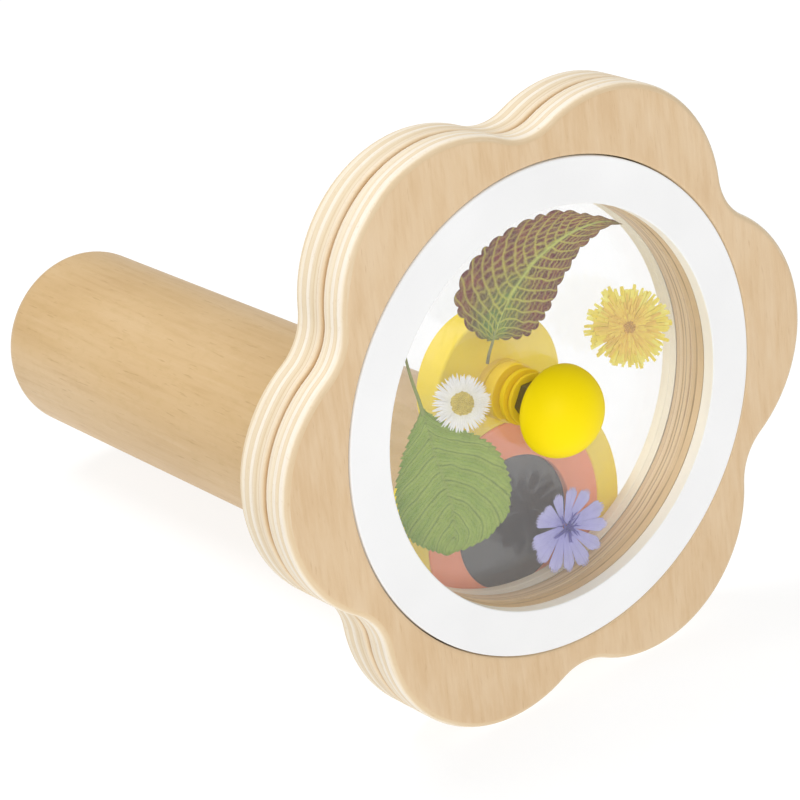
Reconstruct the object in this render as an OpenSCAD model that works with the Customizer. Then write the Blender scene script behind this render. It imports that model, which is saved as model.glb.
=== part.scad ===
// Wheel kaleidoscope: a wooden viewing tube that carries a free-turning
// flower-shaped wheel, with a clear tray for pressed plants in its middle.
// Millimetres. The wheel's axle and the tube both lie along Y, the knob faces
// -Y, the eyepiece faces +Y and +Z is up. The origin is the middle of the
// overall box, at the level of the two lobes that the wheel stands on.

/* [Wheel] */
// Distance from the axle to the centre of each lobe's arc
lobe_centre = 41; // [38:0.5:42]
// Radius of each lobe's arc
lobe_r = 32; // [31:0.5:34]
// Radius of the hollow arc between two lobes
valley_r = 13.5; // [12:0.5:15]
// Thickness of the front plywood plate
front_plate_t = 7.6; // [7.2:0.1:9]
// Thickness of the rear plywood plate
rear_plate_t = 9.7; // [9.4:0.1:11]
// Depth of the narrow groove that shows where the two plates meet
seam_depth = 1.1; // [0.6:0.1:1.6]
// Height of that groove
seam_w = 0.6; // [0.4:0.1:0.8]
// Diameter of the six dowels that join the plates
dowel_d = 5; // [4:0.5:6]

/* [Window] */
// Outer diameter of the white cover ring
ring_od = 112; // [110:0.5:114]
// Inner diameter of the cover ring and of the tray
ring_id = 91.2; // [88:0.2:92]
// Thickness of the cover ring
ring_t = 3.4; // [3.2:0.1:3.8]
// Thickness of each clear disc
disc_t = 2; // [1.8:0.1:2]
// Diameter of the rear clear disc and of its retaining ring
rear_disc_d = 100; // [98:0.5:102]
// Gap all round between the cover and its recess
cover_gap = 0.3; // [0.25:0.05:0.5]

/* [Knob] */
// Largest diameter of the knob
knob_d = 21; // [18:0.2:21.6]
// Height of the dome in front of the widest line
dome_h = 9.2; // [7:0.2:10]
// Diameter of the knob's neck
neck_d = 10.4; // [9:0.2:11]

/* [Tube] */
// Outside diameter of the viewing tube
tube_od = 48; // [47:0.5:50]
// Inside diameter of the viewing tube
tube_id = 36; // [35.5:0.5:37]
// Length of the viewing tube
tube_len = 187; // [150:1:200]
// Rounding of the tube's rear edge
tube_round = 6; // [3:0.5:8]
// Distance from the axle down to the centre of the tube
tube_drop = 33.5; // [33:0.5:36]
// Diameter of the eyepiece hole
eye_d = 14; // [10:1:18]

/* [Mirrors] */
// Thickness of each mirror strip
mirror_t = 1.6; // [1.2:0.1:2]
// Length of the mirror strips
mirror_len = 160; // [120:1:162]

/* [Carrier] */
// Thickness of the carrier plate
carrier_t = 8; // [7:0.5:9]
// Radius of the part of the carrier plate round the tube
carrier_r = 31; // [30:0.5:33]
// Outer diameter of the coral ring set in the carrier plate
coral_d = 49; // [48:0.5:52]
// Diameter of the tube's shouldered front end inside the carrier plate
spigot_d = 46; // [44:0.5:46]
// Radius of the lobe of the carrier plate round the axle
carrier_lobe_r = 17.5; // [15:0.5:20]
// Diameter of the opening in the coral ring
object_d = 32; // [28:0.5:33]
// Diameter of the axle bolt
axle_d = 6; // [5.8:0.1:6]

/* [Hidden] */
$fn = 96;

run_gap = 0.05;                     // radial running clearance on the axle
end_gap = 0.3;                      // end clearance between turning pieces
sleeve_r = 4.6;                     // outside of the wheel's bearing sleeve
hub_r = 6.8;                        // outside of its flange and washers
wheel_t = front_plate_t + rear_plate_t;
ring_r = ring_od / 2;
tray_r = ring_id / 2;
rear_r = rear_disc_d / 2;

// stations along the axle, measured from the wheel's front face
y_disc1 = ring_t;                   // front of the front clear disc
y_disc1b = ring_t + disc_t;
y_flower = y_disc1b + 0.3;          // layer of the pressed flowers
flower_t = 0.6;
y_leaf = y_flower + flower_t + 0.1; // layer of the pressed leaves
leaf_t = 0.5;
y_axle_end = y_disc1b + 0.6;
y_nut = y_axle_end + 0.3;
nut_t = 2.8;
y_fwasher = y_nut + nut_t;
washer_t = 0.9;
y_sleeve = y_fwasher + washer_t + end_gap;
y_disc2b = wheel_t - 2.7;           // back of the rear clear disc
y_disc2 = y_disc2b - disc_t;
y_collar = y_disc2 - 1.3;
y_flange = y_disc2b;
flange_t = 3.3;
y_sleeve_end = y_flange + flange_t;
y_thrust = y_sleeve_end + end_gap;
y_carrier = wheel_t + 3;            // front of the carrier plate
y_tube = y_carrier + 2;             // front end of the tube
y_tail = y_tube + tube_len;
y_window = y_tube;
window_t = 2;
y_mirror = y_window + window_t + 0.3;
y_packing1 = y_mirror + 6;
packing_t = 8;
y_packing2 = y_mirror + mirror_len - 14;
plug_t = 12;
y_plug = y_tail - plug_t;
lens_t = 2;
lens_r = 11;

// knob: widest line and dome top
knob_r = knob_d / 2;
y_wide = -0.2;
y_dome = y_wide - dome_h;

// valley arc's centre, where it is tangent to both neighbouring lobes
valley_centre = lobe_centre * cos(30)
    + sqrt(pow(lobe_r + valley_r, 2) - pow(lobe_centre * sin(30), 2));

// overall box, and the shift that puts the origin at its bottom centre
axle_z = lobe_centre * cos(30) + lobe_r;
y_mid = (y_dome + y_tail) / 2;

module place() translate([0, -y_mid, axle_z]) children();

// a solid of revolution about the axle, from y0 to y1
module disc(r, y0, y1) translate([0, y0, 0]) rotate([-90, 0, 0]) cylinder(r = r, h = y1 - y0);
module tubular(r1, r0, y0, y1) difference() {
    disc(r1, y0, y1);
    disc(r0, y0 - 1, y1 + 1);
}
// a flat outline in the X-Z plane, from y0 to y1
module slab(y0, y1) translate([0, y1, 0]) rotate([90, 0, 0]) linear_extrude(height = y1 - y0) children();

// six-lobed outline, with every edge moved in by a given amount
module petals(inset = 0) difference() {
    union() {
        for (k = [0:5]) rotate(60 * k) translate([lobe_centre, 0]) circle(r = lobe_r - inset);
        polygon([for (k = [0:5]) each [
            [lobe_centre * cos(60 * k), lobe_centre * sin(60 * k)],
            [valley_centre * cos(60 * k + 30), valley_centre * sin(60 * k + 30)]]]);
    }
    for (k = [0:5]) rotate(60 * k + 30) translate([valley_centre, 0]) circle(r = valley_r + inset);
}

module dowel_holes(y0, y1, r) for (k = [0:5])
    rotate([0, -60 * k, 0]) translate([63, 0, 0]) disc(r, y0, y1);

module front_plate() color([0.88, 0.76, 0.60]) place() difference() {
    union() {
        slab(0, front_plate_t - seam_w / 2) petals();
        slab(front_plate_t - seam_w / 2 - 0.01, front_plate_t) petals(seam_depth);
    }
    disc(ring_r + cover_gap, -1, y_disc1b);
    disc(tray_r, -1, front_plate_t + 1);
    dowel_holes(3, front_plate_t + 1, dowel_d / 2);
}

module rear_plate() color([0.88, 0.76, 0.60]) place() difference() {
    union() {
        slab(front_plate_t, front_plate_t + seam_w / 2 + 0.01) petals(seam_depth);
        slab(front_plate_t + seam_w / 2, wheel_t) petals();
    }
    disc(tray_r, 0, wheel_t + 1);
    disc(rear_r, y_disc2, wheel_t + 1);
    dowel_holes(front_plate_t - 1, 13, dowel_d / 2);
}

module plate_dowels() color([0.85, 0.70, 0.50]) place() dowel_holes(3.2, 12.8, dowel_d / 2);

module rear_clear_disc() color([0.95, 0.97, 0.98, 0.3]) place() tubular(rear_r, sleeve_r, y_disc2, y_disc2b);

module rear_ring() color([0.96, 0.96, 0.96]) place() tubular(rear_r, tray_r, y_disc2b, wheel_t);

// the wheel's bearing: a flanged sleeve through the rear disc
module hub_sleeve() color([0.93, 0.79, 0.10]) place() difference() {
    union() {
        disc(sleeve_r, y_sleeve, y_sleeve_end);
        disc(hub_r, y_flange, y_sleeve_end);
    }
    disc(axle_d / 2 + run_gap, y_sleeve - 1, y_sleeve_end + 1);
}

module hub_collar() color([0.93, 0.79, 0.10]) place() tubular(hub_r - 0.4, sleeve_r, y_collar, y_disc2);

// a leaf on a curved midrib: points on a quadratic curve and its two edges
function mid(p, t) = (1 - t) * (1 - t) * p[0] + 2 * t * (1 - t) * p[1] + t * t * p[2];
function dir(p, t) = let (d = 2 * (1 - t) * (p[1] - p[0]) + 2 * t * (p[2] - p[1])) d / norm(d);
function half(t, w, q) = w * pow(sin(180 * pow(t, q)), 0.8);
function edge(p, t, w, q, s) = let (d = dir(p, t)) mid(p, t) + s * half(t, w, q) * [-d[1], d[0]];
module leaf(p, w, q, n = 22) union() {
    polygon(concat(
        [for (i = [0:n]) edge(p, i / n, w, q, 1)],
        [for (i = [n:-1:0]) edge(p, i / n, w, q, -1)]));
}
module stalk(a, b, w) let (d = (b - a) / norm(b - a), s = [-d[1], d[0]] * w / 2)
    polygon([a + s, a - s, b - s, b + s]);
module rays(n, r1, r0) polygon([for (i = [0:2 * n - 1])
    let (r = i % 2 == 0 ? r1 : r0) [r * cos(180 * i / n), r * sin(180 * i / n)]]);

module coleus_leaf() color([0.45, 0.30, 0.28]) place() slab(y_leaf, y_leaf + leaf_t) union() {
    leaf([[-12.5, 19], [-8, 38], [28, 35]], 12, 0.75);
    stalk([-14.5, 14.7], [-11.5, 24], 1);
}
module green_leaf() color([0.52, 0.64, 0.36]) place() slab(y_leaf, y_leaf + leaf_t) union() {
    leaf([[-31.8, 10.5], [-24, -4], [-27, -27]], 15, 0.8);
    stalk([-34, 24], [-30.6, 6.5], 0.9);
}
module daisy() color([0.97, 0.97, 0.95]) place() slab(y_flower, y_flower + flower_t)
    translate([-21.2, 7.6]) rays(34, 9, 7.4);
module dandelion() color([0.90, 0.82, 0.32]) place() slab(y_flower, y_flower + flower_t)
    translate([28, 9.8]) rays(36, 12, 9.6);
module chicory() color([0.72, 0.70, 0.88]) place() slab(y_flower, y_flower + flower_t)
    translate([4.2, -32]) rays(12, 13, 7);

module cover_ring() color([0.96, 0.96, 0.96]) place() tubular(ring_r, tray_r, 0, y_disc1);

module front_clear_disc() color([0.95, 0.97, 0.98, 0.3]) place() difference() {
    disc(ring_r, y_disc1, y_disc1b);
    disc(1.7, y_disc1 - 1, y_disc1b + 1);
    translate([0, y_disc1b - 1.6, 0]) rotate([-90, 0, 0]) cylinder(r1 = 1.7, r2 = 3.3, h = 1.61);
}

// profile of the knob: dome, rounded shoulder, short neck
function knob_side(n = 16) = concat(
    [for (i = [0:n]) let (a = 90 * i / n) [knob_r * sin(a), dome_h * cos(a)]],
    [for (i = [1:n]) let (a = 90 * i / n) [neck_d / 2 + (knob_r - neck_d / 2) * cos(a), -3.2 * sin(a)]]);
module knob() color([0.98, 0.87, 0.02]) place() difference() {
    translate([0, y_wide, 0]) rotate([90, 0, 0])
        rotate_extrude() polygon(concat([[0, y_wide - y_disc1]], [for (p = knob_side()) if (p[1] > -90) p],
            [[neck_d / 2, y_wide - y_disc1]]));
    disc(3, -4.5, y_disc1 + 1);
}
module knob_insert() color([0.80, 0.66, 0.36]) place() tubular(3, 1.5, -4.5, y_disc1);
module knob_screw() color([0.70, 0.70, 0.72]) place() union() {
    disc(1.5, -3.5, y_disc1b - 0.1);
    translate([0, y_disc1b - 1.6, 0]) rotate([-90, 0, 0]) cylinder(r1 = 1.5, r2 = 3.1, h = 1.6);
}

// everything below is centred on the tube
module tube_axis() translate([0, 0, -tube_drop]) children();

module carrier_plate() color([0.95, 0.80, 0.15]) place() difference() {
    union() {
        disc(carrier_lobe_r, y_carrier, y_carrier + carrier_t);
        tube_axis() disc(carrier_r, y_carrier, y_carrier + carrier_t);
    }
    tube_axis() disc(spigot_d / 2, y_carrier - 1, y_carrier + carrier_t + 1);
    tube_axis() disc(coral_d / 2, y_carrier - 1, y_tube);
    disc(axle_d / 2, y_carrier - 1, y_carrier + carrier_t + 1);
}

module tube_body() color([0.87, 0.72, 0.52]) place() tube_axis() difference() {
    translate([0, y_tube, 0]) rotate([-90, 0, 0]) rotate_extrude() difference() {
        union() {
            square([spigot_d / 2, tube_len - tube_round]);
            translate([0, carrier_t - 2]) square([tube_od / 2, tube_len - tube_round - carrier_t + 2]);
            square([tube_od / 2 - tube_round, tube_len]);
            translate([tube_od / 2 - tube_round, tube_len - tube_round]) circle(r = tube_round);
        }
        translate([-tube_od, -1]) square([tube_od, tube_len + 2]);
    }
    disc(tube_id / 2, y_tube - 1, y_tail + 1);
}

module coral_ring() color([0.86, 0.55, 0.46]) place() tube_axis()
    tubular(coral_d / 2, object_d / 2, y_carrier, y_tube);

module object_window() color([0.35, 0.35, 0.36, 0.6]) place() tube_axis()
    disc(tube_id / 2, y_window, y_window + window_t);

// mirror strips: three mitred strips that make a closed triangle
mirror_outer = tube_id / 2 - 0.4;
mirror_inner = mirror_outer - 2 * mirror_t;
module strip(a) slab(y_mirror, y_mirror + mirror_len) polygon([
    [mirror_outer * cos(a), mirror_outer * sin(a)],
    [mirror_inner * cos(a), mirror_inner * sin(a)],
    [mirror_inner * cos(a + 120), mirror_inner * sin(a + 120)],
    [mirror_outer * cos(a + 120), mirror_outer * sin(a + 120)]]);
module mirror_left() color([0.75, 0.77, 0.80]) place() tube_axis() strip(90);
module mirror_right() color([0.75, 0.77, 0.80]) place() tube_axis() strip(-30);
module mirror_base() color([0.75, 0.77, 0.80]) place() tube_axis() strip(210);

module packing(y0) difference() {
    disc(tube_id / 2, y0, y0 + packing_t);
    slab(y0 - 1, y0 + packing_t + 1) polygon([for (k = [0:2])
        [mirror_outer * cos(90 + 120 * k), mirror_outer * sin(90 + 120 * k)]]);
}
module front_packing() color([0.12, 0.12, 0.12]) place() tube_axis() packing(y_packing1);
module rear_packing() color([0.12, 0.12, 0.12]) place() tube_axis() packing(y_packing2);

module eyepiece_plug() color([0.95, 0.80, 0.15]) place() tube_axis() difference() {
    disc(tube_id / 2, y_plug, y_tail);
    disc(eye_d / 2, y_plug - 1, y_tail + 1);
    disc(lens_r, y_plug - 1, y_plug + lens_t + 0.2);
}
module eyepiece_lens() color([0.95, 0.97, 0.98, 0.3]) place() tube_axis()
    disc(lens_r, y_plug + 0.2, y_plug + 0.2 + lens_t);

module axle_bolt() color([0.70, 0.70, 0.72]) place() union() {
    disc(axle_d / 2, y_axle_end, y_carrier + carrier_t + 1.2);
    translate([0, y_carrier + carrier_t + 1.2, 0]) rotate([-90, 0, 0]) cylinder(r = 5.8, h = 3.6, $fn = 6);
}
module rear_washer() color([0.70, 0.70, 0.72]) place()
    tubular(7, axle_d / 2, y_carrier + carrier_t, y_carrier + carrier_t + 1.2);
module thrust_washer() color([0.93, 0.79, 0.10]) place() tubular(hub_r, axle_d / 2, y_thrust, y_carrier);
module front_washer() color([0.93, 0.79, 0.10]) place() tubular(6, axle_d / 2, y_fwasher, y_fwasher + washer_t);
module axle_nut() color([0.18, 0.18, 0.19]) place() difference() {
    translate([0, y_nut, 0]) rotate([-90, 0, 0]) cylinder(r = 5.1, h = nut_t, $fn = 6);
    disc(axle_d / 2, y_nut - 1, y_nut + nut_t + 1);
}

front_plate();
rear_plate();
plate_dowels();
rear_clear_disc();
rear_ring();
hub_sleeve();
hub_collar();
coleus_leaf();
green_leaf();
daisy();
dandelion();
chicory();
cover_ring();
front_clear_disc();
knob();
knob_insert();
knob_screw();
carrier_plate();
tube_body();
coral_ring();
object_window();
mirror_left();
mirror_right();
mirror_base();
front_packing();
rear_packing();
eyepiece_plug();
eyepiece_lens();
axle_bolt();
rear_washer();
thrust_washer();
front_washer();
axle_nut();
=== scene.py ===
import math
import random
import bpy
import bmesh
import numpy as np
from mathutils import Matrix, Vector


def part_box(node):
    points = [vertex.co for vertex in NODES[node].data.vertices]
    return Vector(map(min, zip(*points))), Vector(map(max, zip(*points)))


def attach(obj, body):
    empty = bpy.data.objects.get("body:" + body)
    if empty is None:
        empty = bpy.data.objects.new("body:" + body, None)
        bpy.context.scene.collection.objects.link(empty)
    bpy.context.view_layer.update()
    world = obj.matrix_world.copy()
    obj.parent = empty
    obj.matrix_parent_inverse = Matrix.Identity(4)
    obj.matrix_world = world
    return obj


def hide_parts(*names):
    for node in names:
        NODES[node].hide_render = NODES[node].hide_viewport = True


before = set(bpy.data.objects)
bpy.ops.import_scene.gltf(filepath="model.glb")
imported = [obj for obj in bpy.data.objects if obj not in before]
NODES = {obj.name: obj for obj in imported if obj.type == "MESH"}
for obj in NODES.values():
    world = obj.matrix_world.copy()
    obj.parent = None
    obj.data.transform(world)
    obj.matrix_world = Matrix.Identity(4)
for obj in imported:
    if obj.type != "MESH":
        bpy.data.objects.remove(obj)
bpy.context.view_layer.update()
MM = 0.001

# ---------------------------------------------------------------- frame of the wheel and the tube
plate_lo, plate_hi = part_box("front_plate")
rear_lo, rear_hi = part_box("rear_plate")
ring_lo, ring_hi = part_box("cover_ring")
tube_lo, tube_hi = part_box("tube_body")
Y0 = plate_lo.y                                  # front face of the wheel
AX = (ring_lo.x + ring_hi.x) / 2                 # axle
AZ = (ring_lo.z + ring_hi.z) / 2
TZ = (tube_lo.z + tube_hi.z) / 2 - AZ            # tube's centre below the axle, metres
TUBE_Z = TZ / MM


def P(x, y, z):
    """Millimetres measured from the axle at the wheel's front face, to metres in the row frame."""
    return (AX + x * MM, Y0 + y * MM, AZ + z * MM)


def lin(r, g, b):
    """sRGB 0-255 to linear."""
    out = []
    for c in (r, g, b):
        c /= 255.0
        out.append(c / 12.92 if c <= 0.04045 else ((c + 0.055) / 1.055) ** 2.4)
    return out


def rgba(r, g, b):
    return (*lin(r, g, b), 1.0)


# ---------------------------------------------------------------- mesh helpers
def make(name, verts, faces, mats, body, replaces=(), index=None, sharp=32, tint=None, weld=None):
    me = bpy.data.meshes.new(name)
    me.from_pydata([tuple(v) for v in verts], [], [tuple(f) for f in faces])
    for m in mats:
        me.materials.append(m)
    if index is not None:
        me.polygons.foreach_set("material_index", index)
    if tint is not None:
        a = me.color_attributes.new("tint", "FLOAT_COLOR", "POINT")
        full = np.ones((len(me.vertices), 4), np.float32)
        full[:, :3] = np.asarray(tint, np.float32)
        a.data.foreach_set("color", full.ravel())
    bm = bmesh.new()
    bm.from_mesh(me)
    if weld:
        bmesh.ops.remove_doubles(bm, verts=bm.verts, dist=weld)
        bmesh.ops.dissolve_degenerate(bm, edges=bm.edges, dist=weld * 0.5)
    bmesh.ops.recalc_face_normals(bm, faces=bm.faces)
    bm.to_mesh(me)
    bm.free()
    me.polygons.foreach_set("use_smooth", [True] * len(me.polygons))
    me.set_sharp_from_angle(angle=math.radians(sharp))
    me.update()
    ob = bpy.data.objects.new(name, me)
    bpy.context.scene.collection.objects.link(ob)
    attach(ob, body)
    if replaces:
        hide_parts(*replaces)
    return ob


def loft(loops, close, marks=None):
    """Quads between following loops of equal length, or a fan where a loop is one point. marks gives each strip's material."""
    verts, starts, faces, index = [], [], [], []
    for lp in loops:
        starts.append(len(verts))
        verts.extend(lp)
    count = len(loops)
    strips = count if close else count - 1
    for i in range(strips):
        j = (i + 1) % count
        a, b, na, nb = starts[i], starts[j], len(loops[i]), len(loops[j])
        n = max(na, nb)
        for k in range(n):
            q = (k + 1) % n
            if na == 1:
                f = (a, b + k, b + q)
            elif nb == 1:
                f = (a + k, b, a + q)
            else:
                f = (a + k, b + k, b + q, a + q)
            faces.append(f)
            index.append(marks[i] if marks else 0)
    return verts, faces, index


def revolve(profile, cz=0.0, n=128, close=True, marks=None):
    """Profile of (radius, y) in mm, turned about the axle or, with cz, about the tube."""
    loops = []
    for r, y in profile:
        if r < 1e-6:
            loops.append([P(0, y, cz)])
        else:
            loops.append([P(r * math.cos(2 * math.pi * k / n), y, cz + r * math.sin(2 * math.pi * k / n)) for k in range(n)])
    return loft(loops, close, marks)


def arc(cx, cy, r, a0, a1, n):
    return [(cx + r * math.cos(math.radians(a0 + (a1 - a0) * i / n)), cy + r * math.sin(math.radians(a0 + (a1 - a0) * i / n))) for i in range(n + 1)]


def rounded(r0, r1, y0, y1, e, steps=4, support=True):
    """Closed profile of a flat ring with its four edges rounded by e."""
    pts = []
    for cx, cy, a0 in ((r1 - e, y0 + e, -90), (r1 - e, y1 - e, 0), (r0 + e, y1 - e, 90), (r0 + e, y0 + e, 180)):
        pts += arc(cx, cy, e, a0, a0 + 90, steps)
    if support:
        s = e * 0.7
        out = []
        for i, p in enumerate(pts):
            out.append(p)
            q = pts[(i + 1) % len(pts)]
            d = math.hypot(q[0] - p[0], q[1] - p[1])
            if d > 4 * s:
                u = ((q[0] - p[0]) / d, (q[1] - p[1]) / d)
                out.append((p[0] + u[0] * s, p[1] + u[1] * s))
                out.append((q[0] - u[0] * s, q[1] - u[1] * s))
        pts = out
    return pts


# ---------------------------------------------------------------- node helpers
class Mat:
    def __init__(self, name):
        self.m = bpy.data.materials.new(name)
        self.m.use_nodes = True
        self.t = self.m.node_tree
        self.t.nodes.clear()
        self.out = self.t.nodes.new("ShaderNodeOutputMaterial")
        self.co = None

    def n(self, kind, **kw):
        node = self.t.nodes.new(kind)
        for k, v in kw.items():
            setattr(node, k, v)
        return node

    def link(self, a, b):
        self.t.links.new(a, b)

    def coords(self, scale=(1, 1, 1), rot=(0, 0, 0), loc=(0, 0, 0)):
        if self.co is None:
            self.co = self.n("ShaderNodeTexCoord")
        mp = self.n("ShaderNodeMapping")
        self.link(self.co.outputs["Object"], mp.inputs["Vector"])
        mp.inputs["Location"].default_value = loc
        mp.inputs["Rotation"].default_value = rot
        mp.inputs["Scale"].default_value = scale
        return mp.outputs["Vector"]

    def noise(self, vec, scale=1.0, detail=4.0, rough=0.55, distort=0.0):
        t = self.n("ShaderNodeTexNoise")
        self.link(vec, t.inputs["Vector"])
        t.inputs["Scale"].default_value = scale
        t.inputs["Detail"].default_value = detail
        t.inputs["Roughness"].default_value = rough
        t.inputs["Distortion"].default_value = distort
        return t.outputs["Fac"]

    def ramp(self, fac, stops, interp="LINEAR"):
        r = self.n("ShaderNodeValToRGB")
        self.link(fac, r.inputs["Fac"])
        e = r.color_ramp.elements
        r.color_ramp.interpolation = interp
        while len(e) > 1:
            e.remove(e[-1])
        e[0].position, e[0].color = stops[0][0], stops[0][1]
        for p, c in stops[1:]:
            x = e.new(p)
            x.color = c
        return r.outputs["Color"]

    def grey(self, fac, lo, hi, p0=0.0, p1=1.0):
        """fac from p0..p1 mapped to lo..hi."""
        r = self.n("ShaderNodeMapRange")
        r.clamp = True
        self.link(fac, r.inputs["Value"])
        r.inputs["From Min"].default_value, r.inputs["From Max"].default_value = p0, p1
        r.inputs["To Min"].default_value, r.inputs["To Max"].default_value = lo, hi
        return r.outputs["Result"]

    def math(self, op, a, b=None, c=None):
        m = self.n("ShaderNodeMath", operation=op)
        for i, v in enumerate((a, b, c)):
            if v is None:
                continue
            if isinstance(v, (int, float)):
                m.inputs[i].default_value = v
            else:
                self.link(v, m.inputs[i])
        return m.outputs[0]

    def mix(self, fac, a, b, blend="MIX"):
        m = self.n("ShaderNodeMix", data_type="RGBA", blend_type=blend)
        ins = {"f": m.inputs[0], "a": m.inputs[6], "b": m.inputs[7]}
        for key, v in (("f", fac), ("a", a), ("b", b)):
            if isinstance(v, (int, float)):
                ins[key].default_value = v
            elif isinstance(v, tuple):
                ins[key].default_value = v
            else:
                self.link(v, ins[key])
        return m.outputs[2]

    def bump(self, height, strength, dist, normal=None):
        b = self.n("ShaderNodeBump")
        self.link(height, b.inputs["Height"])
        b.inputs["Strength"].default_value = strength
        b.inputs["Distance"].default_value = dist
        if normal is not None:
            self.link(normal, b.inputs["Normal"])
        return b.outputs["Normal"]

    def principled(self, color, rough, normal=None, **sockets):
        p = self.n("ShaderNodeBsdfPrincipled")
        for name, v in (("Base Color", color), ("Roughness", rough)):
            if isinstance(v, (int, float, tuple)):
                p.inputs[name].default_value = v
            else:
                self.link(v, p.inputs[name])
        if normal is not None:
            self.link(normal, p.inputs["Normal"])
        for k, v in sockets.items():
            p.inputs[k.replace("_", " ")].default_value = v
        self.link(p.outputs["BSDF"], self.out.inputs["Surface"])
        return p


# grain direction of the face veneer in the X-Z plane, radians from +X
GRAIN = math.radians(72)


def veneer(name, dark, mid, light, rot_y, along=85.0, across=820.0):
    """Sanded face veneer: fine fibres, slow tone drift and short pores along one direction."""
    m = Mat(name)
    rot = (0, rot_y, 0)
    fine = m.noise(m.coords((across, 90, along), rot), 1.0, 5.0, 0.62, 0.15)
    flow = m.noise(m.coords((230, 60, 60), rot, (3, 1, 2)), 1.0, 4.0, 0.55, 0.4)
    slow = m.noise(m.coords((17, 12, 13), rot, (7, 2, 5)), 1.0, 2.0, 0.5)
    base = m.ramp(slow, [(0.28, rgba(*dark)), (0.5, rgba(*mid)), (0.74, rgba(*light))])
    base = m.mix(m.grey(flow, 0.0, 0.55, 0.45, 0.70), base, rgba(*light))
    base = m.mix(m.grey(flow, 0.45, 0.0, 0.30, 0.46), base, rgba(dark[0] - 4, dark[1] - 6, dark[2] - 8))
    base = m.mix(m.grey(fine, 0.0, 0.36, 0.50, 0.72), base, rgba(dark[0] - 12, dark[1] - 16, dark[2] - 20))
    base = m.mix(m.grey(fine, 0.30, 0.0, 0.28, 0.46), base, rgba(min(light[0] + 6, 255), light[1] + 8, light[2] + 10))
    pore = m.noise(m.coords((1700, 300, 210), rot, (1, 4, 8)), 1.0, 2.0, 0.5)
    base = m.mix(m.grey(pore, 0.0, 0.26, 0.64, 0.74), base, rgba(dark[0] - 36, dark[1] - 46, dark[2] - 52))
    nrm = m.bump(fine, 0.18, 0.0004)
    nrm = m.bump(pore, 0.10, 0.0003, nrm)
    m.principled(base, m.grey(fine, 0.42, 0.58), nrm, Specular_IOR_Level=0.35, Coat_Weight=0.06, Coat_Roughness=0.35)
    return m.m


def plies(name, bands, glue, softness=0.012, streak=0.5, shade=1.0):
    """The layered edge of plywood. bands are (y mm, colour); glue are (y mm, width mm, colour, strength)."""
    m = Mat(name)
    wob = m.noise(m.coords((60, 30, 60)), 1.0, 3.0, 0.5)
    tex = m.co
    sep = m.n("ShaderNodeSeparateXYZ")
    m.link(tex.outputs["Object"], sep.inputs[0])
    y = m.math("MULTIPLY_ADD", sep.outputs["Y"], 1000.0, -Y0 * 1000.0)
    y = m.math("ADD", y, m.grey(wob, -0.22, 0.22, 0.25, 0.75))
    u = m.math("DIVIDE", y, 17.3)
    stops = []
    for i, (yy, c) in enumerate(bands):
        stops.append((max(0.0, min(1.0, yy / 17.3)), rgba(*c)))
    base = m.ramp(u, stops)
    # fibres: long in the layer, fine across it
    fib = m.noise(m.coords((95, 2600, 95), (0, 0, 0), (2, 3, 4)), 1.0, 4.0, 0.6, 0.1)
    base = m.mix(m.grey(fib, 0.0, 0.34 * streak, 0.52, 0.78), base, rgba(214, 186, 146))
    base = m.mix(m.grey(fib, 0.30 * streak, 0.0, 0.24, 0.46), base, rgba(252, 244, 228))
    # end grain specks
    fleck = m.noise(m.coords((900, 1500, 900), (0, 0, 0), (5, 3, 9)), 1.0, 3.0, 0.6)
    base = m.mix(m.grey(fleck, 0.0, 0.35 * streak, 0.60, 0.76), base, rgba(205, 172, 130))
    # slow change of contrast round the outline
    turn = m.noise(m.coords((26, 10, 26), (0, 0, 0), (9, 1, 3)), 1.0, 2.0, 0.5)
    for gy, gw, gc, gs in glue:
        d = m.math("ABSOLUTE", m.math("SUBTRACT", y, gy))
        line = m.grey(d, gs, 0.0, gw * 0.35, gw)
        line = m.math("MULTIPLY", line, m.grey(turn, 0.45, 1.0, 0.35, 0.65))
        base = m.mix(line, base, rgba(*gc))
    if shade != 1.0:
        base = m.mix(1.0, base, (shade, shade, shade, 1.0), "MULTIPLY")
    nrm = m.bump(fib, 0.25, 0.0004)
    nrm = m.bump(fleck, 0.15, 0.0003, nrm)
    m.principled(base, m.grey(fib, 0.50, 0.68), nrm, Specular_IOR_Level=0.28)
    return m.m


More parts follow.
